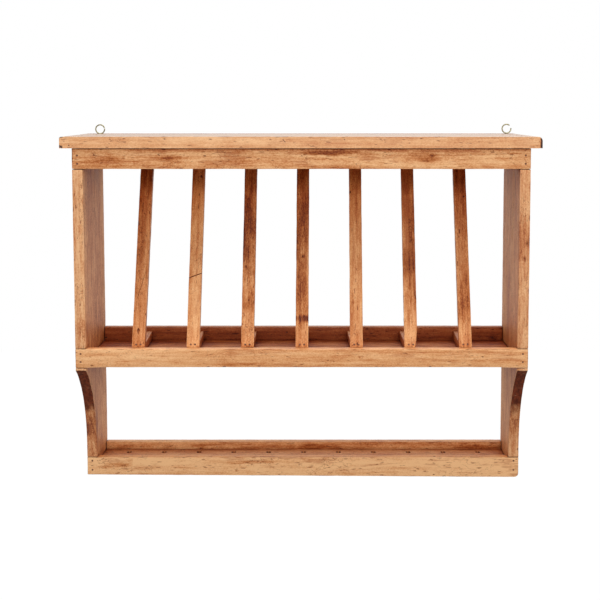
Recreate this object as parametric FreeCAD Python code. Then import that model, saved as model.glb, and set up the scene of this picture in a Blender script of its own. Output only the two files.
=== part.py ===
"""Wall plate rack: a nailed wooden rack with leaning plate dividers over a mug shelf.

Millimetres. X runs to the right, Y towards the wall and Z up. The origin is on the wall
plane, in the middle of the upper back rail's rear face. Each piece is its own solid.
"""
import FreeCAD, Part
import math
import os

Vec = FreeCAD.Vector

# ---- Carcass ---------------------------------------------------------------------------
body_width = 830.0             # over the outer faces of the side panels
body_depth = 200.0             # from the front plane to the wall
body_height = 637.3            # from the lowest foot to the underside of the top board
panel_thickness = 20.0
rail_thickness = 18.0
foot_slant = 5.1               # the left foot is sawn off this much higher than the right one

# ---- Top board -------------------------------------------------------------------------
top_thickness = 21.0
top_front_overhang = 5.0
top_side_overhang = 21.0
top_end_tapers = (7.0, 12.0)   # how far the left and right ends draw in towards the wall
top_end_rounds = (4.0, 10.0)   # upper arris of the left and right ends
top_front_round = 3.0          # upper front arris

# ---- Upper rails -----------------------------------------------------------------------
upper_front_height = 38.0
upper_back_height = 41.0

# ---- Plate rack ------------------------------------------------------------------------
rack_level = 234.3             # from the lowest foot to the undersides of the rack
rack_front_height = 35.5
rack_front_hollow = 1.2        # worn into the front rail's lower edge between the panels
rack_front_hollow_run = 40.0   # from a panel's inner face to the full depth of the hollow
rack_back_height = 41.5
rack_floor_thickness = 16.0

# ---- Mug shelf -------------------------------------------------------------------------
shelf_setback = 90.5           # how far the shelf stands behind the front plane
shelf_front_height = 39.8
shelf_back_height = 43.3
shelf_floor_thickness = 15.0
shelf_floor_rise = 14.3        # from the lowest foot to the underside of the shelf floor
shelf_corner_round = 8.0       # lower right corner of the front rail, knocked off

# ---- Swept brackets of the side panels ---------------------------------------------------
nose_height = 5.0              # straight nose below the rack front rail
sweep_radius = 206.0

# ---- Slats and floor bars ----------------------------------------------------------------
slat_width = 25.0
slat_thickness = 15.0
slat_head_standoff = 10.0      # from a slat's front face to the upper back rail, at the top
end_bay_width = 80.4           # between a side panel and the slat next to it
bar_width = 16.0
bar_height = 18.0
bar_skews = (-5.4, -4.2, 0.0, 0.0, -6.6, -3.7, 2.3)   # how far each bar's rear end strays

# ---- Spoon holes in the shelf floor ------------------------------------------------------
spoon_hole_count = 11
spoon_hole_diameter = 10.0
spoon_hole_end_distance = 50.0   # from a side panel to the middle of the first hole
spoon_hole_wall_distance = 41.0  # from the wall to the row

# ---- Screw eyes --------------------------------------------------------------------------
eye_diameter = 19.6            # over the ring
eye_wire = 2.4
eye_shank_length = 28.0        # below the ring
eye_panel_inset = 3.2          # from a panel's inner face to the shank's axis
eye_wall_distance = 10.0
eye_sinks = (1.2, 0.2)         # how deep the left and right rings are drawn into the wood
eye_gaps = (6.0, 40.0)         # degrees by which the left and right rings stand open

# ---- Nails -------------------------------------------------------------------------------
nail_diameter = 2.0
nail_head_diameter = 3.4
nail_head_thickness = 1.0
nail_length = 40.0
head_nail_length = 30.0        # the shorter nails at the slats' heads
head_nail_drop = 20.0          # below the underside of the top board
foot_nail_spacing = 8.0        # between the two nails of a slat's foot
foot_nail_rise = 5.0           # above the rack front rail
foot_nail_slope = 45.0         # degrees below level
bar_nail_inset = 25.0          # from a bar's ends to its two nails
top_nail_end_distance = 30.0   # from a panel's front and rear edges to the outer nails
top_panel_nail_count = 3       # in each panel
top_rail_nail_count = 4
floor_nail_end_distance = 25.0   # from a floor board's edges to its outer side nails
upper_rail_nail_drops = (13.0, 28.0)   # below the top edge of each front rail
rack_rail_nail_drops = (9.0, 24.0)
shelf_rail_nail_drops = (7.0, 25.0)

# ---- Levels and planes that follow from the sizes above -----------------------------------
top_underside = upper_back_height / 2
feet = top_underside - body_height
front = -body_depth
shelf_front = front + shelf_setback
half_width = body_width / 2
panel_inside = half_width - panel_thickness
panel_middle = half_width - panel_thickness / 2
back_rail_front = -rail_thickness

rack_bottom = feet + rack_level
rack_rail_top = rack_bottom + rack_front_height
rack_floor_top = rack_bottom + rack_floor_thickness
shelf_floor_bottom = feet + shelf_floor_rise
shelf_floor_top = shelf_floor_bottom + shelf_floor_thickness
shelf_rail_top = feet + shelf_front_height

slat_count = len(bar_skews)
slat_pitch = (2 * panel_inside - 2 * end_bay_width - slat_width) / (slat_count - 1)
slat_foot_front = front + rail_thickness
slat_head_front = back_rail_front - slat_head_standoff
slat_slope = (slat_head_front - slat_foot_front) / (top_underside - rack_rail_top)
slat_level_thickness = slat_thickness * math.sqrt(1 + slat_slope ** 2)


def spread(low, high, count):
    """Evenly spaced places from low to high, both included."""
    return [low + (high - low) * step / (count - 1) for step in range(count)]


def board(x_low, x_high, y_low, y_high, z_low, z_high):
    """A straight board between its six faces."""
    corner = Vec(x_low, y_low, z_low)
    return Part.makeBox(x_high - x_low, y_high - y_low, z_high - z_low, corner)


def slat_front_at(level):
    """Where a slat's front face is at this level."""
    return slat_foot_front + slat_slope * (level - rack_rail_top)


def slat_rear_at(level):
    """Where a slat's rear face is at this level."""
    return slat_front_at(level) + slat_level_thickness


def slat_middles():
    """The places of the slats across the rack."""
    outer = slat_pitch * (slat_count - 1) / 2
    return spread(-outer, outer, slat_count)


# ---- Carcass pieces -----------------------------------------------------------------------

def make_top_board():
    x_end = half_width + top_side_overhang
    y_front = front - top_front_overhang
    top = top_underside + top_thickness
    left_taper, right_taper = top_end_tapers
    plan = [(-x_end, y_front), (x_end, y_front), (x_end - right_taper, 0),
            (-x_end + left_taper, 0)]
    points = [Vec(x, y, top_underside) for x, y in plan]
    plank = Part.Face(Part.makePolygon(points + points[:1])).extrude(Vec(0, 0, top_thickness))
    for side, end_round in zip((-1, 1), top_end_rounds):
        ends = [e for e in plank.Edges if is_level(e, top)
                and side * e.CenterOfMass.x > half_width]
        plank = plank.makeFillet(end_round, ends)
    arris = [e for e in plank.Edges if is_level(e, top) and abs(e.CenterOfMass.y - y_front) < 0.01]
    return plank.makeFillet(top_front_round, arris)


def is_level(edge, height):
    """True for an edge that lies wholly at this height."""
    box = edge.BoundBox
    return abs(box.ZMin - height) < 0.01 and abs(box.ZMax - height) < 0.01


def panel_profile():
    """The outline of a side panel, seen from its side, as a closed wire at X = 0."""
    nose = rack_bottom - nose_height
    sweep_middle_y = shelf_front - sweep_radius
    reach = math.sqrt(sweep_radius ** 2 - (front - sweep_middle_y) ** 2)
    sweep_end = nose - reach
    half_angle = math.asin(reach / sweep_radius) / 2
    midway = Vec(0, sweep_middle_y + sweep_radius * math.cos(half_angle),
                 sweep_end + sweep_radius * math.sin(half_angle))

    let_in = front + rail_thickness
    shelf_let_in = shelf_front + rail_thickness
    upper_rail_bottom = top_underside - upper_front_height
    lower = [(0, top_underside), (0, feet), (shelf_let_in, feet),
             (shelf_let_in, shelf_rail_top), (shelf_front, shelf_rail_top),
             (shelf_front, sweep_end)]
    upper = [(front, nose), (front, rack_bottom), (let_in, rack_bottom),
             (let_in, rack_rail_top), (front, rack_rail_top),
             (front, upper_rail_bottom), (let_in, upper_rail_bottom),
             (let_in, top_underside), (0, top_underside)]
    below = Part.makePolygon([Vec(0, y, z) for y, z in lower])
    above = Part.makePolygon([Vec(0, y, z) for y, z in upper])
    sweep = Part.Arc(Vec(0, shelf_front, sweep_end), midway, Vec(0, front, nose)).toShape()
    return Part.Wire(below.Edges + [sweep] + above.Edges)


def make_side_panel(x_low):
    profile = panel_profile()
    profile.translate(Vec(x_low, 0, 0))
    return sawn_askew(Part.Face(profile).extrude(Vec(panel_thickness, 0, 0)))


def front_prism(outline, y_front, depth):
    """A solid with this outline of (x, z) points, seen from the front, and this depth."""
    points = [Vec(x, y_front, z) for x, z in outline]
    return Part.Face(Part.makePolygon(points + points[:1])).extrude(Vec(0, depth, 0))


def sawn_askew(piece):
    """The piece without what lies below the slanting line of the feet."""
    waste = [(-half_width, feet - foot_slant), (-half_width, feet + foot_slant),
             (half_width, feet), (half_width, feet - foot_slant)]
    return piece.cut(front_prism(waste, front, body_depth))


def make_front_rail(y_front, z_low, z_high):
    """A rail across the whole width, let into the panels' front edges."""
    return board(-half_width, half_width, y_front, y_front + rail_thickness, z_low, z_high)


def make_rack_front_rail():
    """The rack's front rail, its lower edge worn hollow between the panels."""
    deep = panel_inside - rack_front_hollow_run
    hollow = [(-panel_inside, rack_bottom), (-deep, rack_bottom + rack_front_hollow),
              (deep, rack_bottom + rack_front_hollow), (panel_inside, rack_bottom)]
    rail = make_front_rail(front, rack_bottom, rack_rail_top)
    return rail.cut(front_prism(hollow, front, rail_thickness))


def make_shelf_front_rail():
    """The shelf's front rail, sawn off askew and rounded at its lower right corner."""
    rail = sawn_askew(make_front_rail(shelf_front, feet, shelf_rail_top))
    corner = [e for e in rail.Edges if is_level(e, feet)
              and abs(e.CenterOfMass.x - half_width) < 0.01]
    return rail.makeFillet(shelf_corner_round, corner)


def make_back_rail(z_low, z_high):
    """A rail between the panels, flat against the wall."""
    return board(-panel_inside, panel_inside, back_rail_front, 0, z_low, z_high)


def make_floor(y_rail_front, z_low, z_high):
    """A floor board between the panels, from a front rail to the back rail."""
    y_low = y_rail_front + rail_thickness
    return board(-panel_inside, panel_inside, y_low, back_rail_front, z_low, z_high)


def spoon_hole_places():
    outer = panel_inside - spoon_hole_end_distance
    return spread(-outer, outer, spoon_hole_count)


def make_shelf_floor():
    floor = make_floor(shelf_front, shelf_floor_bottom, shelf_floor_top)
    for x in spoon_hole_places():
        foot = Vec(x, -spoon_hole_wall_distance, shelf_floor_bottom)
        floor = floor.cut(Part.makeCylinder(spoon_hole_diameter / 2, shelf_floor_thickness, foot))
    return floor


# ---- Slats and floor bars -------------------------------------------------------------------

def make_slat(x_middle):
    """A leaning slat: square on the floor behind the front rail, bevelled to the back rail."""
    bevel_level = rack_rail_top + (
        back_rail_front - slat_level_thickness - slat_foot_front) / slat_slope
    outline = [(slat_foot_front, rack_floor_top), (slat_foot_front, rack_rail_top),
               (slat_head_front, top_underside), (back_rail_front, top_underside),
               (back_rail_front, bevel_level),
               (slat_rear_at(rack_floor_top), rack_floor_top)]
    x_low = x_middle - slat_width / 2
    points = [Vec(x_low, y, z) for y, z in outline]
    face = Part.Face(Part.makePolygon(points + points[:1]))
    return face.extrude(Vec(slat_width, 0, 0))


def make_bar(x_middle, skew):
    """A floor bar from the foot of its slat to the rack back rail, cut to the slat's slope."""
    bar_top = rack_floor_top + bar_height
    half = bar_width / 2
    y_low = slat_rear_at(rack_floor_top)
    plan = [(x_middle - half, y_low), (x_middle + half, y_low),
            (x_middle + half + skew, back_rail_front), (x_middle - half + skew, back_rail_front)]
    points = [Vec(x, y, rack_floor_top) for x, y in plan]
    bar = Part.Face(Part.makePolygon(points + points[:1])).extrude(Vec(0, 0, bar_height))
    slope = [(y_low, rack_floor_top), (slat_rear_at(bar_top), bar_top), (y_low, bar_top)]
    x_wedge = x_middle - body_width
    wedge_points = [Vec(x_wedge, y, z) for y, z in slope]
    wedge = Part.Face(Part.makePolygon(wedge_points + wedge_points[:1]))
    return bar.cut(wedge.extrude(Vec(2 * body_width, 0, 0)))


# ---- Screw eyes -----------------------------------------------------------------------------

def make_screw_eye(side, sink, gap):
    """A ring of wire on a pointed shank, parallel to the wall; side is -1 left or 1 right."""
    full_turn = math.degrees(2 * math.pi)
    ring_radius = (eye_diameter - eye_wire) / 2
    x = side * (panel_inside + eye_panel_inset)
    y = -eye_wall_distance
    ring_bottom = top_underside + top_thickness - sink
    middle = Vec(x, y, ring_bottom + eye_diameter / 2)
    ring = Part.makeTorus(ring_radius, eye_wire / 2, middle, Vec(0, 1, 0), 0, full_turn,
                          full_turn - gap)
    half_neck = math.degrees(eye_wire / 2 / ring_radius)
    ring.rotate(middle, Vec(0, 1, 0), full_turn / 4 - half_neck)
    point_length = 2 * eye_wire
    shank_top = ring_bottom + eye_wire / 2
    neck = Vec(x, y, shank_top)
    shank_length = eye_shank_length - point_length
    shank = Part.makeCylinder(eye_wire / 2, shank_length, neck, Vec(0, 0, -1))
    tip_foot = neck - Vec(0, 0, shank_length)
    tip = Part.makeCone(eye_wire / 2, eye_wire / 10, point_length, tip_foot, Vec(0, 0, -1))
    return ring.fuse([shank, tip]).removeSplitter()


# ---- Nails ----------------------------------------------------------------------------------

def make_nail(head, direction, length=nail_length):
    """A lost-head nail whose head lies flush at this place and points in this direction."""
    shank = Part.makeCylinder(nail_diameter / 2, length, head, direction)
    cap = Part.makeCylinder(nail_head_diameter / 2, nail_head_thickness, head, direction)
    return shank.fuse(cap).removeSplitter()


def rail_nails(y_front, rail_top, drops):
    """Two nails through each end of a front rail into the panels."""
    return [make_nail(Vec(side * panel_middle, y_front, rail_top - drop), Vec(0, 1, 0))
            for side in (-1, 1) for drop in drops]


def foot_nails():
    """A pair of nails slanting down through each slat's foot into its bar."""
    slope = math.radians(foot_nail_slope)
    direction = Vec(0, math.cos(slope), -math.sin(slope))
    level = rack_rail_top + foot_nail_rise
    y = slat_front_at(level)
    return [make_nail(Vec(x + side * foot_nail_spacing / 2, y, level), direction)
            for x in slat_middles() for side in (-1, 1)]


def head_nails():
    """One nail through each slat's head into the upper back rail."""
    level = top_underside - head_nail_drop
    y = slat_front_at(level)
    return [make_nail(Vec(x, y, level), Vec(0, 1, 0), head_nail_length)
            for x in slat_middles()]


def top_nails():
    """Nails down through the top board into the panels and the upper front rail."""
    top = top_underside + top_thickness
    rear = -eye_wall_distance - top_nail_end_distance
    beside = [(side * panel_middle, y) for side in (-1, 1)
              for y in spread(front + rail_thickness + top_nail_end_distance, rear,
                              top_panel_nail_count)]
    along = spread(-half_width, half_width, top_rail_nail_count + 2)[1:-1]
    rail_middle = front + rail_thickness / 2
    places = beside + [(x, rail_middle) for x in along]
    return [make_nail(Vec(x, y, top), Vec(0, 0, -1)) for x, y in places]


def side_nails(side):
    """Nails through a side panel into the ends of the floors and back rails."""
    rack_middle = (rack_bottom + rack_floor_top) / 2
    shelf_middle = (shelf_floor_bottom + shelf_floor_top) / 2
    rail_y = back_rail_front / 2
    inset = floor_nail_end_distance
    rack_row = spread(front + rail_thickness + inset, back_rail_front - inset, 3)
    shelf_row = spread(shelf_front + rail_thickness + inset / 2, back_rail_front - inset / 2, 2)
    places = [(y, rack_middle) for y in rack_row]
    places += [(y, shelf_middle) for y in shelf_row]
    places += [(rail_y, 0), (rail_y, rack_bottom + rack_back_height / 2)]
    places += [(rail_y, feet + shelf_back_height / 2)]
    return [make_nail(Vec(side * half_width, y, z), Vec(-side, 0, 0)) for y, z in places]


def bar_nails():
    """Two nails up through the rack floor into each bar."""
    y_front = slat_rear_at(rack_floor_top + bar_height) + bar_nail_inset
    y_rear = back_rail_front - bar_nail_inset
    run = back_rail_front - slat_rear_at(rack_floor_top)
    nails = []
    for x, skew in zip(slat_middles(), bar_skews):
        for y in (y_front, y_rear):
            stray = skew * (y - slat_rear_at(rack_floor_top)) / run
            length = rack_floor_thickness + bar_height / 2
            nails.append(make_nail(Vec(x + stray, y, rack_bottom), Vec(0, 0, 1), length))
    return nails


def bored(piece, fasteners):
    """The wooden piece with an exact hole for each nail or screw that it touches."""
    touching = [f for f in fasteners if f.BoundBox.intersect(piece.BoundBox)]
    return piece.cut(touching) if touching else piece


# ---- Assembly ---------------------------------------------------------------------------------

def make_wood():
    upper_rail_bottom = top_underside - upper_front_height
    wood = {
        "top_board": make_top_board(),
        "side_panel_left": make_side_panel(-half_width),
        "side_panel_right": make_side_panel(panel_inside),
        "upper_front_rail": make_front_rail(front, upper_rail_bottom, top_underside),
        "upper_back_rail": make_back_rail(top_underside - upper_back_height, top_underside),
        "rack_front_rail": make_rack_front_rail(),
        "rack_back_rail": make_back_rail(rack_bottom, rack_bottom + rack_back_height),
        "rack_floor": make_floor(front, rack_bottom, rack_floor_top),
        "shelf_front_rail": make_shelf_front_rail(),
        "shelf_back_rail": sawn_askew(make_back_rail(feet, feet + shelf_back_height)),
        "shelf_floor": make_shelf_floor(),
    }
    for number, (x, skew) in enumerate(zip(slat_middles(), bar_skews), start=1):
        wood["slat_%d" % number] = make_slat(x)
        wood["floor_bar_%d" % number] = make_bar(x, skew)
    return wood


def make_fasteners():
    """Each group of fasteners, by the name of its node."""
    return {
        "screw_eye_left": [make_screw_eye(-1, eye_sinks[0], eye_gaps[0])],
        "screw_eye_right": [make_screw_eye(1, eye_sinks[1], eye_gaps[1])],
        "upper_rail_nails": rail_nails(front, top_underside, upper_rail_nail_drops),
        "rack_rail_nails": rail_nails(front, rack_rail_top, rack_rail_nail_drops),
        "shelf_rail_nails": rail_nails(shelf_front, shelf_rail_top, shelf_rail_nail_drops),
        "slat_foot_nails": foot_nails(),
        "slat_head_nails": head_nails(),
        "top_board_nails": top_nails(),
        "left_panel_nails": side_nails(-1),
        "right_panel_nails": side_nails(1),
        "floor_bar_nails": bar_nails(),
    }


def main():
    os.makedirs("parts", exist_ok=True)
    fasteners = make_fasteners()
    every_fastener = [solid for group in fasteners.values() for solid in group]
    for name, piece in make_wood().items():
        bored(piece, every_fastener).exportStep("parts/%s.step" % name)
    for name, group in fasteners.items():
        Part.makeCompound(group).exportStep("parts/%s.step" % name)


main()
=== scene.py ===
"""The looks of the wall plate rack: worn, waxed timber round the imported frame.

Metres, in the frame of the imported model: X to the right, Y into the wall, Z up.
Lengths that are named in millimetres are multiplied by MM where they are used.
"""

import math

import bmesh
import bpy
from mathutils import Euler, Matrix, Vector


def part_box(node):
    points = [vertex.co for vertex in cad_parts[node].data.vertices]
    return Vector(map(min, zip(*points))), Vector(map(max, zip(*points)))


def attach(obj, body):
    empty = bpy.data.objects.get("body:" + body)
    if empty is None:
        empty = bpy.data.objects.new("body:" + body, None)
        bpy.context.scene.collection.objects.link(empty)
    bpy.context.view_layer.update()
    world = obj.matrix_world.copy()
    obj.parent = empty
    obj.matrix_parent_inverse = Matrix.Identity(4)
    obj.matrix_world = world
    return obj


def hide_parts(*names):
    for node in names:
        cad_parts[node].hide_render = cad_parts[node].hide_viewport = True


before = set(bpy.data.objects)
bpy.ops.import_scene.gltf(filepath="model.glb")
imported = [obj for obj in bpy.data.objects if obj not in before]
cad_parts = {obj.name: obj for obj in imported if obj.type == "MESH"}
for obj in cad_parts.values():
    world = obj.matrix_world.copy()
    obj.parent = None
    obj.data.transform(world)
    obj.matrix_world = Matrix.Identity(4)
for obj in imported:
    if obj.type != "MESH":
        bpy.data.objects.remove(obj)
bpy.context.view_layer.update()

MM = 0.001
TOUCHING = 0.01 * MM
BODY = "root"

# ---- Colours, as sRGB hex ------------------------------------------------------------------
STRAW = "EBB885"
HONEY = "D89D69"
AMBER = "C17D4B"
RUSSET = "9A5224"
WAX_RED = "9E4F22"
ROSE = "B07E6C"
WORN_PALE = "EDC096"
# settled dirt with a painted sheen and shade, for upward faces
DUST_AND_SHEEN = "94806F"
KNOT_DARK, KNOT_LIGHT = "4A200E", "8A4A24"
END_GRAIN_DARK, END_GRAIN_LIGHT = "4A1A10", "702E1A"
FLOOR_PAINT = "92908D"

# The wood under a mark is multiplied by the mark's colour
BROWN_MARK = "8E5F38"
DARK_MARK = "75491F"
BLACK_MARK = "4E3424"
# a painted shadow with some dirt, under the top board's front edge
SHADOW_AND_DIRT_MARK = "86541A"
REDDISH_MARK = "8A5A52"
GREY_MARK = "6A6866"
PALE_GREY_MARK = "9A948E"
END_MARK = "806A5A"

# From the darkest wood to the palest
BOARD_SCALE = ((0.0, "5A2008"), (0.14, "7A3511"), (0.28, RUSSET), (0.4, "B26B38"), (0.51, AMBER),
               (0.61, "CC8B5A"), (0.71, HONEY), (0.82, "E1AA79"), (0.93, STRAW))

# ---- Levels read from the frame -------------------------------------------------------------
top_low, top_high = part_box("top_board")
upper_low, upper_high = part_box("upper_front_rail")
rack_low, rack_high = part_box("rack_front_rail")
rack_back_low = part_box("rack_back_rail")[0]
shelf_low, shelf_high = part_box("shelf_front_rail")
rack_floor_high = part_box("rack_floor")[1]

foot_slant = 5.1 * MM
left_foot = shelf_low.z + foot_slant
slat_count = 7
slat_names = ["slat_%d" % number for number in range(1, slat_count + 1)]
bar_names = ["floor_bar_%d" % number for number in range(1, slat_count + 1)]
slat_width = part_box("slat_1")[1].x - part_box("slat_1")[0].x
slat_thickness = 15 * MM
slat_head_gap = 10 * MM
slat_head_front = rack_back_low.y - slat_head_gap
slat_foot = Vector((0, rack_high.y, rack_high.z))
slat_head = Vector((0, slat_head_front, top_low.z))
slat_lean = math.atan2(slat_head.y - slat_foot.y, slat_head.z - slat_foot.z)


# ============================ Materials ======================================================

def linear(hex_colour):
    """An sRGB hex colour as linear red, green, blue and alpha."""
    parts = [int(hex_colour[i:i + 2], 16) / 255 for i in (0, 2, 4)]
    return [p / 12.92 if p <= 0.04045 else ((p + 0.055) / 1.055) ** 2.4 for p in parts] + [1.0]


class Recipe:
    """One material and its nodes, added one after another."""

    def __init__(self, name):
        self.material = bpy.data.materials.new(name)
        self.material.use_nodes = True
        self.tree = self.material.node_tree
        self.shader = self.tree.nodes["Principled BSDF"]
        coordinates = self.add("ShaderNodeTexCoord", {})
        self.place = coordinates.outputs["Object"]
        self.normal = coordinates.outputs["Normal"]

    def add(self, kind, inputs, **settings):
        node = self.tree.nodes.new(kind)
        for key, value in settings.items():
            setattr(node, key, value)
        for key, value in inputs.items():
            self.feed(node.inputs[key], value)
        return node

    def feed(self, socket, value):
        if isinstance(value, bpy.types.NodeSocket):
            self.tree.links.new(value, socket)
        else:
            socket.default_value = value

    def math(self, operation, first, second=0.0, third=0.0):
        node = self.add("ShaderNodeMath", {0: first, 1: second, 2: third}, operation=operation)
        return node.outputs[0]

    def vector(self, operation, first, second=(0, 0, 0)):
        node = self.add("ShaderNodeVectorMath", {0: first, 1: second}, operation=operation)
        return node.outputs["Value" if operation in ("LENGTH", "DOT_PRODUCT") else "Vector"]

    def step(self, value, start, end, low=0.0, high=1.0):
        """A smooth rise from low at start to high at end."""
        node = self.add("ShaderNodeMapRange", {"Value": value, "From Min": start, "From Max": end,
                                               "To Min": low, "To Max": high},
                        interpolation_type="SMOOTHSTEP", clamp=True)
        return node.outputs["Result"]

    def noise(self, place, scale, detail=3.0, roughness=0.55, distortion=0.0):
        node = self.add("ShaderNodeTexNoise", {"Vector": place, "Scale": scale, "Detail": detail,
                                               "Roughness": roughness, "Distortion": distortion})
        return node.outputs["Fac"]

    def mix(self, share, first, second, blend_type="MIX"):
        """Two colours mixed; a colour is a hex string or a socket."""
        first, second = [linear(c) if isinstance(c, str) else c for c in (first, second)]
        node = self.add("ShaderNodeMix", {0: share, 6: first, 7: second}, data_type="RGBA",
                        blend_type=blend_type, clamp_factor=True)
        return node.outputs[2]

    def ramp(self, value, stops):
        """A colour scale from (place, hex) stops."""
        node = self.add("ShaderNodeValToRGB", {"Fac": value})
        band = node.color_ramp
        while len(band.elements) < len(stops):
            band.elements.new(0.5)
        for element, (place, colour) in zip(band.elements, stops):
            element.position = place
            element.color = linear(colour)
        return node.outputs["Color"]


GRAINS = {"across": (0, 0, 0), "upright": (0, math.pi / 2, 0),
          "leaning": (slat_lean, math.pi / 2, 0), "deep": (0, 0, -math.pi / 2)}


def along_grain(grain, point_mm):
    """A point of the object, in millimetres, in the coordinates of the grain, in metres."""
    return Euler(GRAINS[grain]).to_matrix() @ (Vector(point_mm) * MM)


def spot(recipe, place, grain, centre_mm, reach_mm):
    """How far from a spot's centre a place is, in spot sizes. reach_mm is along the grain and
    along its two cross directions."""
    offset = recipe.vector("SUBTRACT", place, tuple(along_grain(grain, centre_mm)))
    scaled = recipe.vector("MULTIPLY", offset, tuple(1 / (r * MM) for r in reach_mm))
    return recipe.vector("LENGTH", scaled)


def wood(name, grain, seed, tone=0.0, contrast=1.0, rose=0.0, knots=(), patches=(), lines=(),
         pits=0.5, flush=0.3, recess_shade=1.9, gloss=0.42, sheen=0.15, dust_and_sheen=0.0, cracks=0.6,
         rubbed=1.0, dirt_and_shade=0.6):
    """Waxed old wood. knots are (centre, radius), patches (centre, reach, strength, sawn) and
    lines (start, end, half width, colour), all in millimetres in the object's frame."""
    recipe = Recipe(name)
    turned = recipe.add("ShaderNodeMapping", {"Vector": recipe.place,
                                              "Rotation": GRAINS[grain]}).outputs[0]
    shift = (seed * 1.37, seed * 0.731, seed * 0.417)
    moved = recipe.vector("ADD", turned, shift)
    swayed = sway(recipe, moved)
    radius, knot_core, knot_rings = growth_rings(recipe, swayed, turned, grain, knots)
    ring = recipe.math("FRACT", recipe.math("MULTIPLY", radius, 150.0))
    ring_shade = recipe.math("MULTIPLY", recipe.step(ring, 0.3, 0.95),
                             recipe.step(ring, 1.0, 0.9))

    # streaks, blotches and fibres, most of them drawn out along the grain
    broad = recipe.noise(recipe.vector("MULTIPLY", swayed, (1.8, 20, 20)), 1.0, 3.0, 0.5)
    streak = recipe.noise(recipe.vector("MULTIPLY", swayed, (5.5, 180, 180)), 1.0, 3.0, 0.55)
    blotch = recipe.noise(recipe.vector("MULTIPLY", moved, (34, 75, 75)), 1.0, 3.0, 0.6)
    fleck = recipe.noise(recipe.vector("MULTIPLY", swayed, (26, 560, 560)), 1.0, 2.0, 0.6)
    speck = recipe.noise(recipe.vector("MULTIPLY", moved, (330, 620, 620)), 1.0, 2.0, 0.6)
    fibre = recipe.noise(recipe.vector("MULTIPLY", swayed, (45, 1300, 1300)), 1.0, 3.0, 0.6)
    value = 0.66 + tone
    for part, weight in ((broad, 0.85), (streak, 0.6), (blotch, 0.5), (fleck, 0.5),
                         (speck, 0.75), (fibre, 0.28)):
        value = recipe.math("MULTIPLY_ADD", recipe.math("SUBTRACT", part, 0.5),
                            weight * contrast, value)
    value = recipe.math("MULTIPLY_ADD", ring_shade, -0.08 * contrast, value)
    ragged = recipe.noise(recipe.vector("MULTIPLY", swayed, (16, 190, 190)), 1.0, 4.0, 0.7)
    clouds = recipe.noise(recipe.vector("MULTIPLY", moved, (14, 46, 46)), 1.0, 4.0, 0.65)
    for centre, reach, strength, sawn in patches:
        share = patch_mask(recipe, turned, grain, centre, reach, ragged, clouds, sawn)
        value = recipe.math("MULTIPLY_ADD", share, -0.45 * strength, value)
    if knot_rings is not None:
        value = recipe.math("MULTIPLY_ADD", knot_rings, -0.26, value)

    # a surface that slants through the grain drinks more of the wax
    along = recipe.vector("DOT_PRODUCT", recipe.normal,
                          tuple(Euler(GRAINS[grain]).to_matrix().inverted() @ Vector((1, 0, 0))))
    along = recipe.math("MULTIPLY_ADD", recipe.math("SUBTRACT", ragged, 0.5), 0.12,
                        recipe.math("ABSOLUTE", along))
    end_share = recipe.step(along, 0.32, 0.46)
    value = recipe.math("MULTIPLY_ADD", recipe.step(along, 0.08, 0.26), -0.24, value)
    colour = recipe.ramp(value, BOARD_SCALE)
    if rose:
        colour = recipe.mix(rose, colour, ROSE)

    # reddish wax where the grain is open
    open_grain = recipe.math("MULTIPLY_ADD", ragged, 0.5, recipe.math("MULTIPLY", clouds, 0.5))
    colour = recipe.mix(recipe.step(open_grain, 0.52, 0.6, 0.0, flush), colour, WAX_RED)
    if knot_core is not None:
        heart = recipe.ramp(recipe.noise(turned, 520.0, 3.0),
                            ((0.35, KNOT_DARK), (0.6, KNOT_LIGHT)))
        colour = recipe.mix(recipe.math("MULTIPLY", knot_core, 0.8), colour, heart)

    # pits, bruises and worm holes
    pit_place = recipe.vector("MULTIPLY", moved, (0.5, 1.0, 1.0))
    cells = recipe.add("ShaderNodeTexVoronoi", {"Vector": pit_place, "Scale": 62.0})
    apart = recipe.add("ShaderNodeSeparateColor", {"Color": cells.outputs["Color"]})
    chosen = recipe.step(apart.outputs[0], 1.0 - pits * 0.8, 1.02 - pits * 0.8)
    pit_size = recipe.math("MULTIPLY_ADD", apart.outputs[1], 0.055, 0.03)
    pit = recipe.math("MULTIPLY", chosen, recipe.step(recipe.math(
        "DIVIDE", cells.outputs["Distance"], pit_size), 1.3, 0.7))
    colour = recipe.mix(recipe.math("MULTIPLY", pit, 0.9), colour, DARK_MARK, "MULTIPLY")
    dash_place = recipe.vector("MULTIPLY", moved, (75, 430, 430))
    dash = recipe.step(recipe.noise(dash_place, 1.0, 1.0), 0.67, 0.74)
    colour = recipe.mix(recipe.math("MULTIPLY", dash, 0.8), colour, BROWN_MARK, "MULTIPLY")

    # wandering hair cracks, here and there
    contour = recipe.noise(recipe.vector("MULTIPLY", moved, (55, 85, 85)), 1.0, 2.0, 0.6)
    off_line = recipe.math("ABSOLUTE", recipe.math("SUBTRACT", contour, 0.5))
    region = recipe.noise(recipe.vector("MULTIPLY", moved, (14, 26, 26)), 1.0, 1.0)
    crack = recipe.math("MULTIPLY", recipe.step(off_line, 0.014, 0.005),
                        recipe.step(region, 0.56, 0.6, 0.0, cracks))
    colour = recipe.mix(crack, colour, BROWN_MARK, "MULTIPLY")

    # end grain is dark
    end_colour = recipe.mix(recipe.step(streak, 0.4, 0.62), END_GRAIN_DARK, END_GRAIN_LIGHT)
    colour = recipe.mix(recipe.math("MULTIPLY", end_share, 0.92), colour, end_colour)

    # cracks, knocks, stained edges and a painted shadow line, each in its own place
    cut = None
    for start, end, half_width, stain in lines:
        share = line_mask(recipe, turned, grain, start, end, half_width)
        colour = recipe.mix(recipe.math("MULTIPLY", share, 0.95), colour, stain, "MULTIPLY")
        cut = share if cut is None else recipe.math("MAXIMUM", cut, share)
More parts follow.
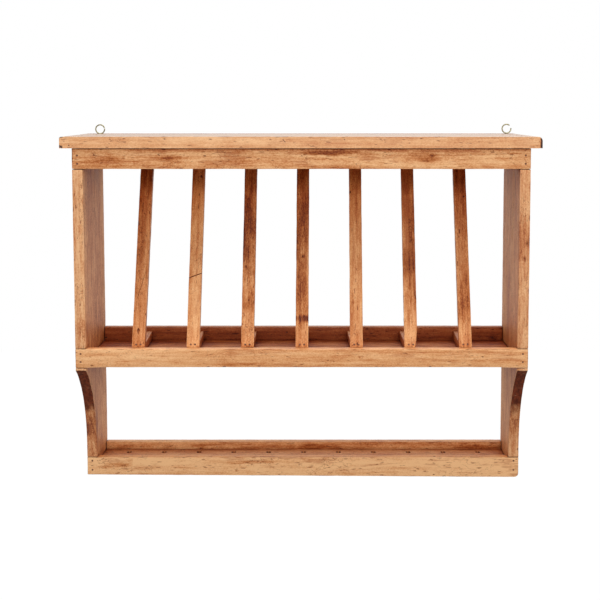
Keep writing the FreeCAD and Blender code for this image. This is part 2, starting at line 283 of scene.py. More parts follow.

    # rubbed arrises, dirt in the joints with painted contact shade, and painted shade that darkens
    # and reddens the colour where the rack closes in
    worn = recipe.add("ShaderNodeAttribute", {}, attribute_name="arris").outputs["Fac"]
    rub = recipe.noise(recipe.vector("MULTIPLY", moved, (30, 60, 60)), 1.0, 3.0)
    colour = recipe.mix(recipe.math("MULTIPLY", worn, recipe.step(
        rub, 0.44, 0.6, 0.0, 0.6 * rubbed)), colour, WORN_PALE)
    colour = recipe.mix(recipe.math("MULTIPLY", worn, recipe.step(
        rub, 0.46, 0.34, 0.0, 0.8)), colour, BROWN_MARK, "MULTIPLY")
    # dirt and painted contact shade: browner where another surface is within 9 mm, as in joints and
    # under overhangs
    shut = recipe.add("ShaderNodeAmbientOcclusion", {"Distance": 0.009}, samples=6)
    joint_dirt_and_shade = recipe.step(shut.outputs["AO"], 0.75, 0.3, 0.0, dirt_and_shade)
    colour = recipe.mix(joint_dirt_and_shade, colour, BROWN_MARK, "MULTIPLY")
    # settled dirt with painted sheen and shade: upward faces are greyed and dulled, standing in for
    # their pale grazing sheen and for the stronger light from above
    if dust_and_sheen:
        upward = recipe.add("ShaderNodeSeparateXYZ", {"Vector": recipe.normal}).outputs["Z"]
        colour = recipe.mix(recipe.step(upward, 0.8, 0.98, 0.0, dust_and_sheen), colour, DUST_AND_SHEEN)
    # painted shade: the more the surroundings within 30 cm close a place in, as under the top
    # board, the darker and redder its colour
    open_to = recipe.add("ShaderNodeAmbientOcclusion", {"Distance": 0.3}, samples=8).outputs["AO"]
    shade = recipe.math("POWER", recipe.math("SUBTRACT", 1.0, open_to), 1.8)
    recess_shade_gamma = recipe.math("MULTIPLY_ADD", shade, recess_shade, 1.0)
    colour = recipe.add("ShaderNodeGamma", {"Color": colour, "Gamma": recess_shade_gamma}).outputs[0]
    recipe.feed(recipe.shader.inputs["Base Color"], colour)

    # the wax shines unevenly, and least on end grain
    shine = recipe.math("MULTIPLY_ADD", broad, 0.2, gloss - 0.1)
    shine = recipe.math("MULTIPLY_ADD", streak, 0.12, shine)
    shine = recipe.math("MULTIPLY_ADD", end_share, 0.35, shine)
    recipe.feed(recipe.shader.inputs["Roughness"], shine)
    recipe.shader.inputs["Specular IOR Level"].default_value = sheen

    # a shallow relief of the same grain and marks
    height = recipe.math("MULTIPLY_ADD", fibre, 0.3, recipe.math("MULTIPLY", streak, 0.5))
    height = recipe.math("MULTIPLY_ADD", blotch, 0.35, height)
    height = recipe.math("MULTIPLY_ADD", ring_shade, 0.08, height)
    height = recipe.math("MULTIPLY_ADD", pit, -1.6, height)
    height = recipe.math("MULTIPLY_ADD", dash, -0.4, height)
    if cut is not None:
        height = recipe.math("MULTIPLY_ADD", cut, -1.8, height)
    bump = recipe.add("ShaderNodeBump", {"Strength": 0.6, "Distance": 0.0006, "Height": height})
    recipe.feed(recipe.shader.inputs["Normal"], bump.outputs["Normal"])
    return recipe.material


def sway(recipe, moved):
    """The grain's coordinates, wandering slowly to the side along the board."""
    slow = recipe.vector("MULTIPLY", moved, (0.16, 1.0, 1.0))
    wander = recipe.add("ShaderNodeTexNoise", {"Vector": slow, "Scale": 12.0, "Detail": 2.0})
    offset = recipe.vector("SUBTRACT", wander.outputs["Color"], (0.5, 0.5, 0.5))
    return recipe.vector("ADD", moved, recipe.vector("MULTIPLY", offset, (0.0, 0.022, 0.022)))


def growth_rings(recipe, swayed, turned, grain, knots):
    """The distance from the tree's middle, bulging round each knot, then where the knots' hearts
    are and the dark rings round them."""
    pith = recipe.vector("MULTIPLY", recipe.vector("ADD", swayed, (0, 0.06, -0.04)), (0.02, 1, 1))
    radius = recipe.vector("LENGTH", pith)
    knot_core = knot_rings = None
    for centre, size in knots:
        away = spot(recipe, turned, grain, centre, (size * 2.6, size * 1.6, size * 1.6))
        bulge = recipe.math("EXPONENT", recipe.math("MULTIPLY", recipe.math(
            "MULTIPLY", away, away), -1.0))
        radius = recipe.math("MULTIPLY_ADD", bulge, size * 1.5 * MM, radius)
        near = spot(recipe, turned, grain, centre, (size * 1.25, size, size))
        near = recipe.math("MULTIPLY_ADD", recipe.noise(turned, 300.0, 2.0), 0.6, near)
        core = recipe.step(near, 0.95, 0.65)
        turn = recipe.math("ABSOLUTE", recipe.math("SUBTRACT", recipe.math(
            "FRACT", recipe.math("MULTIPLY", near, 1.9)), 0.5))
        ring = recipe.math("MULTIPLY", recipe.step(turn, 0.2, 0.42), recipe.step(near, 2.7, 1.2))
        rings = recipe.math("MULTIPLY_ADD", recipe.step(near, 2.3, 0.9), 0.5,
                            recipe.math("MULTIPLY", ring, 0.7))
        knot_core = core if knot_core is None else recipe.math("MAXIMUM", knot_core, core)
        knot_rings = rings if knot_rings is None else recipe.math("MAXIMUM", knot_rings, rings)
    return radius, knot_core, knot_rings


def patch_mask(recipe, turned, grain, centre, reach, ragged, clouds, sawn):
    """1 in a stained patch with ragged, cloudy rims. Where sawn is true it ends on a straight
    line across the grain, as a stain does that once stopped at another board."""
    away = spot(recipe, turned, grain, centre, reach)
    rim = recipe.math("MULTIPLY_ADD", ragged, 1.7, recipe.math("MULTIPLY", clouds, 3.2))
    share = recipe.step(recipe.math("ADD", away, rim), 3.5, 2.5)
    if not sawn:
        return share
    offset = recipe.vector("SUBTRACT", turned, tuple(along_grain(grain, centre)))
    along = recipe.add("ShaderNodeSeparateXYZ", {"Vector": offset}).outputs["X"]
    edge = reach[0] * 0.55 * MM
    return recipe.math("MULTIPLY", share, recipe.step(along, edge + 1.2 * MM, edge))


def line_mask(recipe, place, grain, start_mm, end_mm, half_width_mm):
    """1 on a thin line between two points, with an uneven edge."""
    start, end = along_grain(grain, start_mm), along_grain(grain, end_mm)
    run = end - start
    offset = recipe.vector("SUBTRACT", place, tuple(start))
    share = recipe.math("DIVIDE", recipe.vector("DOT_PRODUCT", offset, tuple(run)),
                        run.length_squared)
    share = recipe.math("MINIMUM", recipe.math("MAXIMUM", share, 0.0), 1.0)
    nearest = recipe.add("ShaderNodeVectorMath", {0: tuple(run), "Scale": share},
                         operation="SCALE").outputs[0]
    gap = recipe.vector("LENGTH", recipe.vector("SUBTRACT", offset, nearest))
    wobble = recipe.math("MULTIPLY_ADD", recipe.noise(place, 260.0, 3.0), 1.2, 0.4)
    return recipe.step(recipe.math("DIVIDE", gap, recipe.math(
        "MULTIPLY", wobble, half_width_mm * MM)), 1.2, 0.7)


def make_brass():
    """Drawn brass wire, dulled by handling."""
    recipe = Recipe("eye_brass_wire")
    cloud = recipe.noise(recipe.place, 260.0, 3.0)
    recipe.feed(recipe.shader.inputs["Base Color"], recipe.ramp(
        cloud, ((0.3, "696247"), (0.55, "948C69"), (0.8, "BDB693"))))
    recipe.feed(recipe.shader.inputs["Roughness"], recipe.math("MULTIPLY_ADD", cloud, 0.25, 0.28))
    recipe.shader.inputs["Metallic"].default_value = 1.0
    bump = recipe.add("ShaderNodeBump", {"Strength": 0.3, "Distance": 0.0001, "Height": cloud})
    recipe.feed(recipe.shader.inputs["Normal"], bump.outputs["Normal"])
    return recipe.material


def make_iron():
    """Nail steel, brown with rust and wax."""
    recipe = Recipe("nail_iron")
    cloud = recipe.noise(recipe.place, 900.0, 3.0)
    recipe.feed(recipe.shader.inputs["Base Color"], recipe.ramp(
        cloud, ((0.3, "4E2814"), (0.6, "6F3F24"), (0.8, "935F3C"))))
    recipe.feed(recipe.shader.inputs["Roughness"], recipe.math("MULTIPLY_ADD", cloud, 0.3, 0.45))
    recipe.shader.inputs["Metallic"].default_value = 0.15
    bump = recipe.add("ShaderNodeBump", {"Strength": 0.5, "Distance": 0.0002, "Height": cloud})
    recipe.feed(recipe.shader.inputs["Normal"], bump.outputs["Normal"])
    return recipe.material


# ============================ Timber =========================================================

plane_marks = bpy.data.textures.new("plane_marks", "CLOUDS")
plane_marks.noise_scale = 0.11
plane_marks.noise_depth = 1
dents = bpy.data.textures.new("dents", "CLOUDS")
dents.noise_scale = 0.014
dents.noise_depth = 2


def start_block(name, low, high):
    """A squared block between two corners, open in edit mode and named."""
    bpy.ops.object.select_all(action="DESELECT")
    low, high = Vector(low), Vector(high)
    bpy.ops.mesh.primitive_cube_add(size=1, location=(low + high) / 2, scale=high - low)
    block = bpy.context.active_object
    block.name = name
    block.data.name = name
    bpy.ops.object.transform_apply(location=True, rotation=True, scale=True)
    bpy.ops.object.mode_set(mode="EDIT")
    bpy.ops.mesh.select_mode(type="EDGE")
    return block


def choose_edges(piece, wanted):
    """Selects the edges that wanted says yes to, in edit mode."""
    bpy.ops.mesh.select_mode(type="EDGE")
    bpy.ops.mesh.select_all(action="DESELECT")
    mesh = bmesh.from_edit_mesh(piece.data)
    for edge in mesh.edges:
        edge.select_set(bool(wanted(edge)))
    bmesh.update_edit_mesh(piece.data)


def choose_points(piece, wanted):
    """Selects the vertices that wanted says yes to, in edit mode."""
    bpy.ops.mesh.select_mode(type="VERT")
    bpy.ops.mesh.select_all(action="DESELECT")
    mesh = bmesh.from_edit_mesh(piece.data)
    for vertex in mesh.verts:
        vertex.select_set(bool(wanted(vertex.co)))
    mesh.select_flush_mode()
    bmesh.update_edit_mesh(piece.data)


def ease_arrises(piece, width_mm, segments=3, shortest_mm=0.0):
    """Rounds every sharp edge of this length or more a little."""
    choose_edges(piece, lambda e: e.is_manifold and e.calc_length() > shortest_mm * MM
                 and e.calc_face_angle(0) > math.radians(28))
    bpy.ops.mesh.bevel(offset=width_mm * MM, segments=segments, affect="EDGES",
                       clamp_overlap=True)


def slice_rows(piece, direction, row_mm):
    """Cuts a piece, in edit mode, into rows about row_mm apart across this direction."""
    normal = Vector(direction).normalized()
    reaches = [v.co.dot(normal) for v in bmesh.from_edit_mesh(piece.data).verts]
    low, high = min(reaches), max(reaches)
    count = max(1, round((high - low) / (row_mm * MM)))
    for number in range(1, count):
        bpy.ops.mesh.select_all(action="SELECT")
        bpy.ops.mesh.bisect(plane_co=normal * (low + (high - low) * number / count),
                            plane_no=normal)


def cut_off(plane_point, plane_normal):
    """Cuts away what lies on the normal's side of a plane, and closes the cut."""
    bpy.ops.mesh.select_all(action="SELECT")
    bpy.ops.mesh.bisect(plane_co=plane_point, plane_no=plane_normal, use_fill=True,
                        clear_outer=True)


def is_arris(mesh, polygon, limit):
    """True for the narrow faces of an eased edge."""
    points = [mesh.vertices[i].co for i in polygon.vertices]
    sides = [(points[i] - points[i - 1]).length for i in range(len(points))]
    return polygon.area < limit * max(sides)


def age(piece, plane_mm, dent_mm, ease_mm):
    """Leaves edit mode and wears the surface: broad plane marks, and dents on the arrises."""
    bpy.ops.object.mode_set(mode="OBJECT")
    mesh = piece.data
    edges_group = piece.vertex_groups.new(name="arris_points")
    limit = ease_mm * 0.75 * MM
    narrow = [p for p in mesh.polygons if is_arris(mesh, p, limit)]
    edges_group.add(sorted({i for p in narrow for i in p.vertices}), 1.0, "REPLACE")
    worn = mesh.attributes.new("arris", "FLOAT", "FACE")
    narrow_faces = {p.index for p in narrow}
    worn.data.foreach_set("value", [float(i in narrow_faces) for i in range(len(mesh.polygons))])
    for name, texture, strength, group in (("plane", plane_marks, plane_mm, ""),
                                           ("dent", dents, dent_mm, "arris_points")):
        modifier = piece.modifiers.new(name, "DISPLACE")
        modifier.texture = texture
        modifier.texture_coords = "GLOBAL"
        modifier.strength = strength * MM
        modifier.mid_level = 1.0
        modifier.vertex_group = group
        bpy.ops.object.modifier_apply(modifier=name)
    bpy.ops.object.shade_smooth_by_angle(angle=math.radians(35))
    return piece


def press_back(piece, node):
    """Presses what wear has pushed out of a node's own box back to its faces."""
    low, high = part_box(node)
    for vertex in piece.data.vertices:
        vertex.co = [min(max(c, l), h) for c, l, h in zip(vertex.co, low, high)]


def hand_over(piece, node, material):
    """Gives a finished piece its wood and its place in the frame."""
    press_back(piece, node)
    piece.data.materials.clear()
    piece.data.materials.append(material)
    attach(piece, BODY)
    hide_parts(node)


def finish_timber(piece, ease_mm, plane_mm=0.4, dent_mm=0.6, row_mm=9.0, segments=3,
                  slices=((1, 0, 0), (0, 1, 0), (0, 0, 1)), shortest_mm=0.0):
    """Eases a piece's arrises, divides it finely and wears it."""
    ease_arrises(piece, ease_mm, segments, shortest_mm)
    for direction in slices:
        slice_rows(piece, direction, row_mm)
    return age(piece, plane_mm, dent_mm, ease_mm)


def squared_timber(node, ease_mm=0.9):
    """A plain board in the place of a node."""
    low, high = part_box(node)
    return finish_timber(start_block(node + "_timber", low, high), ease_mm)


def make_top_board():
    """The top: a plank whose ends draw in towards the wall, its left end eased, its right end
    bullnosed and the right front corner rubbed off."""
    left_taper, right_taper = 7 * MM, 12 * MM
    left_round, right_round, front_round, corner_round = 4 * MM, 10 * MM, 3 * MM, 8 * MM
    upper_part = top_low.z + 8 * MM
    piece = start_block("top_board_timber", top_low, top_high)
    for side, taper in ((-1, left_taper), (1, right_taper)):
        choose_points(piece, lambda p: p.x * side > 0 and p.y > -10 * MM)
        bpy.ops.transform.translate(value=(-side * taper, 0, 0))
    for side, end_round in ((-1, left_round), (1, right_round)):
        choose_edges(piece, lambda e: all(
            v.co.z > top_high.z - TOUCHING and v.co.x * side > 400 * MM for v in e.verts))
        bpy.ops.mesh.bevel(offset=end_round, segments=6, affect="EDGES")
    choose_edges(piece, lambda e: runs_across(e) and all(
        v.co.z > upper_part and v.co.y < top_low.y + TOUCHING for v in e.verts))
    bpy.ops.mesh.bevel(offset=front_round, segments=4, affect="EDGES")
    for turn in (18, 36, 54, 72):
        normal = Vector((math.sin(math.radians(turn)), -math.cos(math.radians(turn)), 0))
        middle = Vector((top_high.x - corner_round, top_low.y + corner_round, 0))
        cut_off(middle + normal * corner_round, normal)
    return finish_timber(piece, 0.8, 0.35, 0.5, row_mm=8, segments=2, shortest_mm=3.5,
                         slices=((1, 0, 0), (0, 1, 0)))


def runs_across(edge):
    """True for a long edge along the rack."""
    return abs(edge.verts[0].co.x - edge.verts[1].co.x) > 100 * MM


def make_slat(node):
    """A leaning slat: turned to its slope, then cut at the floor, the board above and the rails."""
    low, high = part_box(node)
    middle = (low.x + high.x) / 2
    length = (slat_head - slat_foot).length + 60 * MM
    centre = Vector((middle, (slat_foot.y + slat_head.y) / 2, (slat_foot.z + slat_head.z) / 2))
    half = slat_width / 2
    piece = start_block(node + "_timber",
                        (middle - half, centre.y, centre.z - length / 2),
                        (middle + half, centre.y + slat_thickness, centre.z + length / 2))
    bpy.ops.mesh.select_all(action="SELECT")
    bpy.ops.transform.rotate(value=slat_lean, orient_axis="X", center_override=centre)
    cut_off((0, 0, low.z), (0, 0, -1))
    cut_off((0, 0, high.z), (0, 0, 1))
    cut_off((0, high.y, 0), (0, 1, 0))
    cut_off((0, low.y, 0), (0, -1, 0))
    if node == "slat_6":
        whittle(middle + half)
    return finish_timber(piece, 1.0, plane_mm=0.5, dent_mm=0.8,
                         slices=(slat_head - slat_foot, (1, 0, 0)))


def whittle(right_side):
    """Pares the right side of a slat towards its foot."""
    start_height, taper = 32 * MM, math.radians(6)
    point = (right_side, slat_foot.y, slat_foot.z + start_height)
    cut_off(point, (math.cos(taper), 0, -math.sin(taper)))


def make_bar(node, slat_node):
    """A floor bar, drawn askew at its rear end and cut to the slat's slope."""
    low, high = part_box(node)
    slat_low, slat_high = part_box(slat_node)
    slat_middle = (slat_low.x + slat_high.x) / 2
    skew = (low.x + high.x) - 2 * slat_middle
    half = ((high.x - low.x) - abs(skew)) / 2
    piece = start_block(node + "_timber", (slat_middle - half, low.y, low.z),
                        (slat_middle + half, high.y, high.z))
    choose_points(piece, lambda p: p.y > (low.y + high.y) / 2)
    bpy.ops.transform.translate(value=(skew, 0, 0))
    cut_off((0, low.y, low.z), (0, -math.cos(slat_lean), math.sin(slat_lean)))
    return finish_timber(piece, 1.0, plane_mm=0.3, dent_mm=0.8, row_mm=8, segments=2,
                         slices=((0, 1, 0),))


def cutter(kind, **sizes):
    """A plain solid that only cuts another one."""
    bpy.ops.object.mode_set(mode="OBJECT")
    bpy.ops.object.select_all(action="DESELECT")
    if kind == "block":
        low, high = Vector(sizes["low"]), Vector(sizes["high"])
        bpy.ops.mesh.primitive_cube_add(size=1, location=(low + high) / 2, scale=high - low)
    else:
        bpy.ops.mesh.primitive_cylinder_add(
            vertices=sizes["vertices"], radius=sizes["radius"], depth=sizes["depth"],
            location=sizes["location"], rotation=sizes.get("rotation", (0, 0, 0)))
    bpy.ops.object.transform_apply(location=True, rotation=True, scale=True)
    return bpy.context.active_object


def subtract(piece, cutters):
    """Cuts each cutter out of a piece, throws the cutter away and goes back to edit mode."""
    for tool in cutters:
        bpy.ops.object.select_all(action="DESELECT")
        bpy.context.view_layer.objects.active = piece
        piece.select_set(True)
        modifier = piece.modifiers.new("cut", "BOOLEAN")
        modifier.operation = "DIFFERENCE"
        modifier.solver = "EXACT"
        modifier.object = tool
        bpy.ops.object.modifier_apply(modifier="cut")
        bpy.data.objects.remove(tool)
    bpy.ops.object.mode_set(mode="EDIT")
    bpy.ops.mesh.select_all(action="SELECT")
    bpy.ops.mesh.remove_doubles(threshold=TOUCHING)
    bpy.ops.mesh.dissolve_limited(angle_limit=math.radians(0.5))


def saw_feet():
    """Saws a piece off along the slanting line of the feet."""
    slant = math.atan2(left_foot - shelf_low.z, 2 * shelf_high.x)
    cut_off((shelf_high.x, 0, shelf_low.z), (-math.sin(slant), 0, -math.cos(slant)))


def make_panel(node):
    """A side panel: swept bracket below, notches for the three front rails."""
    nose_height, sweep_radius, out = 5 * MM, 206 * MM, 5 * MM
    low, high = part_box(node)
    low.z = shelf_low.z
    piece = start_block(node + "_timber", low, high)
    saw_feet()
    nose = rack_low.z - nose_height
    sweep_y = shelf_low.y - sweep_radius
    sweep_end = nose - math.sqrt(sweep_radius ** 2 - (low.y - sweep_y) ** 2)
    tools = [
        cutter("cylinder", vertices=180, radius=sweep_radius, depth=0.1,
               location=((low.x + high.x) / 2, sweep_y, sweep_end),
               rotation=(0, math.pi / 2, 0)),
        cutter("block", low=(low.x - out, low.y - out, low.z - out),
               high=(high.x + out, shelf_low.y, sweep_end)),
    ]
    for rail_low, rail_high in ((upper_low, upper_high), (rack_low, rack_high),
                                (shelf_low, shelf_high)):
        ends = out if rail_high.z >= high.z - out else 0.0
        feet = out if rail_low.z <= low.z + out else 0.0
        tools.append(cutter("block", low=(low.x - out, rail_low.y - out, rail_low.z - feet),
                            high=(high.x + out, rail_high.y, rail_high.z + ends)))
    subtract(piece, tools)
    return finish_timber(piece, 0.9, row_mm=12, slices=((0, 0, 1), (0, 1, 0)))


def make_shelf_floor():
    """The shelf floor with its row of spoon holes."""
    hole_count, hole_radius, end_distance, wall_distance = 11, 5 * MM, 50 * MM, 41 * MM
    low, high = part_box("shelf_floor")
    piece = start_block("shelf_floor_timber", low, high)
    pitch = (high.x - low.x - 2 * end_distance) / (hole_count - 1)
    drills = [cutter("cylinder", vertices=24, radius=hole_radius, depth=0.06,
                     location=(low.x + end_distance + number * pitch, -wall_distance,
                               (low.z + high.z) / 2)) for number in range(hole_count)]
    subtract(piece, drills)
    return finish_timber(piece, 0.8, 0.35, 0.45, row_mm=14, segments=2, shortest_mm=3.0,
                         slices=((1, 0, 0),))


def make_rack_front_rail():
    """The rack's front rail, its lower edge worn hollow between the panels."""
    hollow, run = 1.2 * MM, 40 * MM
    panel_inside = rack_floor_high.x
    piece = start_block("rack_front_rail_timber", rack_low, rack_high)
    ease_arrises(piece, 1.0)
    for direction in ((1, 0, 0), (0, 0, 1), (0, 1, 0)):
        slice_rows(piece, direction, 8)
    mesh = bmesh.from_edit_mesh(piece.data)
    for vertex in mesh.verts:
        share = min(max((panel_inside - abs(vertex.co.x)) / run, 0.0), 1.0)
        depth = (rack_high.z - vertex.co.z) / (rack_high.z - rack_low.z)
        vertex.co.z += hollow * share * share * (3 - 2 * share) * depth ** 3
    bmesh.update_edit_mesh(piece.data)
    return age(piece, 0.4, 0.6, 1.0)


def make_shelf_front_rail():
    """The shelf's front rail, sawn off askew, its lower right corner knocked off."""
    corner_round = 8 * MM
    piece = start_block("shelf_front_rail_timber", shelf_low, shelf_high)
    saw_feet()
    near = 0.1 * MM
    choose_edges(piece, lambda e: all(
        v.co.x > shelf_high.x - near and v.co.z < shelf_low.z + near for v in e.verts))
    bpy.ops.mesh.bevel(offset=corner_round, segments=5, affect="EDGES")
    return finish_timber(piece, 1.0, row_mm=8)


def make_shelf_back_rail():
    """The rail behind the shelf, sawn off askew with the feet."""
    low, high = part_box("shelf_back_rail")
    low.z = shelf_low.z
    piece = start_block("shelf_back_rail_timber", low, high)
    saw_feet()
    return finish_timber(piece, 0.9)


# ============================ The pieces =====================================================

def on_rail(x, z, rail_low=upper_low):
    """A place on a front rail's face, in millimetres."""
    return (x, rail_low.y / MM, z)


def on_slat(number, across_mm, level_mm):
    """A place on a slat's front face: across from its middle, at a level."""
    low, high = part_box("slat_%d" % number)
    share = (level_mm * MM - slat_foot.z) / (slat_head.z - slat_foot.z)
    y = slat_foot.y + (slat_head.y - slat_foot.y) * share
    return ((low.x + high.x) / 2 / MM + across_mm, y / MM, level_mm)


def make_all():
    """Makes every board, dresses it and gives the metal its finish."""
    # a painted shadow, with some dirt, along the upper rail just under the top board's front edge
    shadow_and_dirt_level, shadow_and_dirt_end = 20.4, 416
    shadow_and_dirt_line = (on_rail(-shadow_and_dirt_end, shadow_and_dirt_level), on_rail(shadow_and_dirt_end, shadow_and_dirt_level))
    # the top board's upward faces carry settled dirt with a painted sheen and shade
    hand_over(make_top_board(), "top_board", wood(
        "top_board_grain", "across", 1, tone=0.09, contrast=0.7, pits=0.4, flush=0.2, gloss=0.3,
        sheen=0.4, dust_and_sheen=0.8, patches=(((-20, -195, 33), (60, 60, 5), 0.3, False),),
        lines=(((-33, -205, 36), (-29, -205, 32), 0.8, DARK_MARK),
               ((77, -205, 37), (78, -205, 36), 0.8, DARK_MARK),
               ((215, -205, 38), (216, -205, 38), 0.9, DARK_MARK),
               ((-436, -204, 40), (-430, -204, 41), 1.6, GREY_MARK),
               ((-436, -204, 39), (-436, -204, 33), 1.2, PALE_GREY_MARK),
               ((-436, -204, 25), (-432, -204, 22.5), 2.4, BLACK_MARK),
               ((-419, -205, 26), (-418, -205, 25), 1.0, DARK_MARK),
               ((433, -203, 44), (433.5, -203, 20), 2.6, END_MARK))))
    hand_over(squared_timber("upper_front_rail"), "upper_front_rail", wood(
        "upper_rail_grain", "across", 2, tone=-0.02, pits=0.7, flush=0.5, patches=(
            (on_rail(-345, 1), (46, 60, 10), 0.7, True),
            (on_rail(-243, 1), (48, 60, 8), 0.7, True),
            (on_rail(-120, 12), (34, 60, 8), 0.85, False),
            (on_rail(-140, -2), (36, 60, 4), 0.6, False),
            (on_rail(60, 12), (80, 60, 6), 0.95, False),
            (on_rail(225, 6), (34, 60, 11), 0.5, False),
            (on_rail(380, 11), (22, 60, 2), 0.8, False)),
        knots=((on_rail(236, 7), 2.5),),
        lines=((*shadow_and_dirt_line, 1.7, SHADOW_AND_DIRT_MARK),
               (on_rail(-414.5, 19), on_rail(-414.5, -3), 1.5, REDDISH_MARK),
               (on_rail(-259, 9), on_rail(-256, 8), 0.8, DARK_MARK),
               (on_rail(-176, 7), on_rail(-173, 7), 0.8, DARK_MARK),
               (on_rail(-375, 9), on_rail(-374, 9), 0.8, DARK_MARK))))
    hand_over(make_rack_front_rail(), "rack_front_rail", wood(
        "rack_rail_grain", "across", 3, tone=0.15, contrast=0.8, pits=0.5, flush=0.35, cracks=0.3,
        patches=((on_rail(125, -368), (18, 60, 4), 0.4, False),
                 (on_rail(-120, -376), (60, 60, 3), 0.4, False)),
        knots=((on_rail(106, -362), 1.6),)))
    hand_over(make_shelf_front_rail(), "shelf_front_rail", wood(
        "shelf_rail_grain", "across", 4, tone=0.22, contrast=0.95, pits=0.8, flush=0.45, patches=(
            (on_rail(-350, -589, shelf_low), (40, 60, 10), 0.95, True),
            (on_rail(-90, -586, shelf_low), (110, 60, 5), 0.6, False),
            (on_rail(190, -598, shelf_low), (100, 60, 4), 0.35, False)),
        knots=((on_rail(-128, -604, shelf_low), 1.6), (on_rail(27, -600, shelf_low), 1.4))))

    hand_over(squared_timber("upper_back_rail"), "upper_back_rail", wood(
        "upper_back_rail_grain", "across", 5, tone=-0.08))
    hand_over(squared_timber("rack_back_rail"), "rack_back_rail", wood(
        "rack_back_rail_grain", "across", 6, tone=-0.19, contrast=0.65, rose=0.2, recess_shade=1.0,
        rubbed=0.0, dirt_and_shade=0.2, knots=(((375, -18, -362), 5),)))
    hand_over(make_shelf_back_rail(), "shelf_back_rail", wood(
        "shelf_back_rail_grain", "across", 7, tone=0.15, recess_shade=0.4, rubbed=0.3, dirt_and_shade=0.3,
        knots=(((-206, -18, -587), 3.6),),
        patches=(((20, -18, -586), (60, 60, 7), 0.6, False),
                 ((345, -18, -586), (60, 60, 10), 0.55, False))))
    hand_over(squared_timber("rack_floor"), "rack_floor", wood(
        "rack_floor_grain", "across", 8, tone=-0.16, recess_shade=1.8, rubbed=0.2, dirt_and_shade=0.3))
    hand_over(make_shelf_floor(), "shelf_floor", wood(
        "shelf_floor_grain", "across", 9, tone=0.04, rose=0.15, recess_shade=1.0, rubbed=0.3,
        dirt_and_shade=0.4))

    hand_over(make_panel("side_panel_left"), "side_panel_left", wood(
        "left_panel_grain", "upright", 10, **PANEL_LOOKS,
        patches=(((-395, -38, -170), (260, 30, 12), 0.35, False),
                 ((-405, -200, -315), (40, 20, 60), 0.4, False),
                 ((-405, -112, -520), (50, 14, 60), 0.6, False))))
    hand_over(make_panel("side_panel_right"), "side_panel_right", wood(
        "right_panel_grain", "upright", 11, **PANEL_LOOKS,
        patches=(((405, -200, -150), (60, 20, 60), 0.75, False),
                 ((405, -112, -520), (50, 14, 60), 0.6, False),
                 ((395, -120, -200), (260, 12, 12), 0.3, False)),
        knots=(((410, -200, -152), 4.0), ((406, -200, -180), 3.0))))

    for number, (slat, bar) in enumerate(zip(slat_names, bar_names), start=1):
        hand_over(make_slat(slat), slat, wood(
            slat + "_grain", "leaning", 20 + number, rubbed=0.5, recess_shade=1.6, **SLAT_LOOKS[number]))
        hand_over(make_bar(bar, slat), bar, wood(
            bar + "_grain", "deep", 30 + number, tone=-0.03, rose=0.2, rubbed=0.3))

    brass, iron = make_brass(), make_iron()
    for name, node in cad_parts.items():
        metal = brass if name.startswith("screw_eye") else iron if name.endswith("nails") else None
        if metal:
            node.data.materials.clear()
            node.data.materials.append(metal)


PANEL_LOOKS = dict(tone=0.13, contrast=1.2, rose=0.16, gloss=0.5, recess_shade=1.2)
SLAT_LOOKS = {
    1: dict(tone=-0.03, contrast=0.8, knots=((on_slat(1, -1, -318), 2.0),), pits=0.6,
            lines=((on_slat(1, 8, -212), on_slat(1, -6, -262), 0.5, BROWN_MARK),)),
    2: dict(tone=0.0, contrast=0.8, pits=0.7,
            lines=((on_slat(2, -13, -226), on_slat(2, 13, -217), 1.1, DARK_MARK),)),
    3: dict(tone=-0.03, contrast=0.85, pits=0.6, knots=((on_slat(3, -6, -206), 2.2),),
            patches=((on_slat(3, -10, -130), (130, 4, 40), 0.7, False),
                     (on_slat(3, 2, -275), (26, 6, 40), 0.45, False))),
    4: dict(tone=-0.08, contrast=0.9, pits=0.7, flush=0.6, knots=((on_slat(4, 3, -186), 2.4),),
            patches=((on_slat(4, 4, -120), (60, 7, 40), 0.5, False),
                     (on_slat(4, 0, -240), (60, 8, 40), 0.4, False),
                     (on_slat(4, 11, -298), (8, 4, 40), 0.9, False))),
    5: dict(tone=0.0, contrast=0.8, knots=((on_slat(5, -6, -269), 2.0),)),
    6: dict(tone=-0.03, contrast=0.85, pits=0.4, flush=0.5,
            patches=((on_slat(6, 6, -200), (100, 5, 40), 0.7, False),
                     (on_slat(6, -4, -110), (60, 4, 40), 0.35, False))),
    7: dict(tone=-0.01, contrast=0.85, patches=(
        (on_slat(7, 5, -270), (70, 3, 40), 0.6, False),
        (on_slat(7, 2, -70), (75, 14, 40), 0.3, False))),
}


# ============================ Camera, light and stage ========================================

def make_camera():
    """The photograph's view: from a little above, framed with a small shift."""
    data = bpy.data.cameras.new("photo_camera")
    data.sensor_width = 36.0
    data.lens = 71.397
    data.shift_x = -0.0429
    data.shift_y = -0.16
    data.clip_end = 50
    tilt_down = math.radians(5.004)
    camera = bpy.data.objects.new("photo_camera", data)
    bpy.context.scene.collection.objects.link(camera)
    camera.location = (43.96 * MM, -2346.35 * MM, 107.5 * MM)
    camera.rotation_euler = (math.pi / 2 - tilt_down, 0, 0)
    bpy.context.scene.camera = camera


def make_lamp(name, place, target, width, height, power):
    """A softbox that faces its target."""
    data = bpy.data.lights.new(name, "AREA")
    data.shape = "RECTANGLE"
    data.size = width
    data.size_y = height
    data.energy = power
    lamp = bpy.data.objects.new(name, data)
    bpy.context.scene.collection.objects.link(lamp)
    lamp.location = place
    lamp.rotation_euler = (Vector(target) - Vector(place)).to_track_quat("-Z", "Y").to_euler()


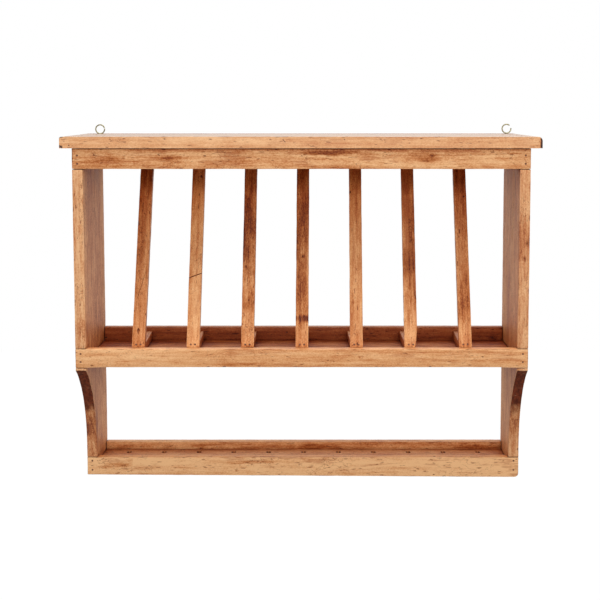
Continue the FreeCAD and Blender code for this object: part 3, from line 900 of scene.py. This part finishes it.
def white_where_seen(tree, plain):
    """1 for a ray that sees the background itself, and plain for a ray that lights the rack."""
    rays = tree.nodes.new("ShaderNodeLightPath")
    seen = rays.outputs["Is Camera Ray"]
    for other in ("Is Glossy Ray", "Is Transmission Ray"):
        either = tree.nodes.new("ShaderNodeMath")
        either.operation = "MAXIMUM"
        tree.links.new(seen, either.inputs[0])
        tree.links.new(rays.outputs[other], either.inputs[1])
        seen = either.outputs[0]
    share = tree.nodes.new("ShaderNodeMapRange")
    tree.links.new(seen, share.inputs["Value"])
    share.inputs["To Min"].default_value = plain
    return share.outputs["Result"]


def make_world(plain):
    """A white room, dimmer for the light that it sheds on the rack than to the eye."""
    world = bpy.data.worlds.new("white_room")
    bpy.context.scene.world = world
    world.use_nodes = True
    tree = world.node_tree
    background = tree.nodes["Background"]
    background.inputs["Color"].default_value = (1, 1, 1, 1)
    tree.links.new(white_where_seen(tree, plain), background.inputs["Strength"])


def make_floor(level):
    """A plain pale floor, well below the rack as it hangs on its wall."""
    bpy.ops.object.select_all(action="DESELECT")
    bpy.ops.mesh.primitive_plane_add(size=14, location=(0, 0, level))
    floor = bpy.context.active_object
    floor.name = "pale_floor"
    recipe = Recipe("pale_floor_paint")
    recipe.shader.inputs["Base Color"].default_value = linear(FLOOR_PAINT)
    recipe.shader.inputs["Roughness"].default_value = 0.8
    glow = recipe.add("ShaderNodeEmission", {"Color": (1, 1, 1, 1), "Strength": 1.08})
    rays = recipe.add("ShaderNodeLightPath", {})
    seen = rays.outputs["Is Camera Ray"]
    for other in ("Is Glossy Ray", "Is Transmission Ray"):
        seen = recipe.math("MAXIMUM", seen, rays.outputs[other])
    share = recipe.math("MULTIPLY", seen, 0.92)
    blend = recipe.add("ShaderNodeMixShader", {0: share, 1: recipe.shader.outputs[0],
                                               2: glow.outputs[0]})
    output = recipe.tree.nodes["Material Output"]
    recipe.tree.links.new(blend.outputs[0], output.inputs["Surface"])
    floor.data.materials.append(recipe.material)


rack_middle, rack_lower_middle = (0, -0.1, -0.2), (0, -0.1, -0.3)
make_camera()
make_world(0.8)
make_lamp("front_softbox", (0.3, -3.0, 0.9), rack_middle, width=2.4, height=0.7, power=31)
make_lamp("top_softbox", (0.0, -0.7, 2.5), rack_middle, width=2.6, height=1.2, power=50)
make_lamp("rear_softbox", (0.6, 2.4, 2.0), rack_lower_middle, width=2.4, height=1.6, power=14)
make_all()
make_floor(-1.9)

bpy.context.scene.view_settings.view_transform = "Standard"
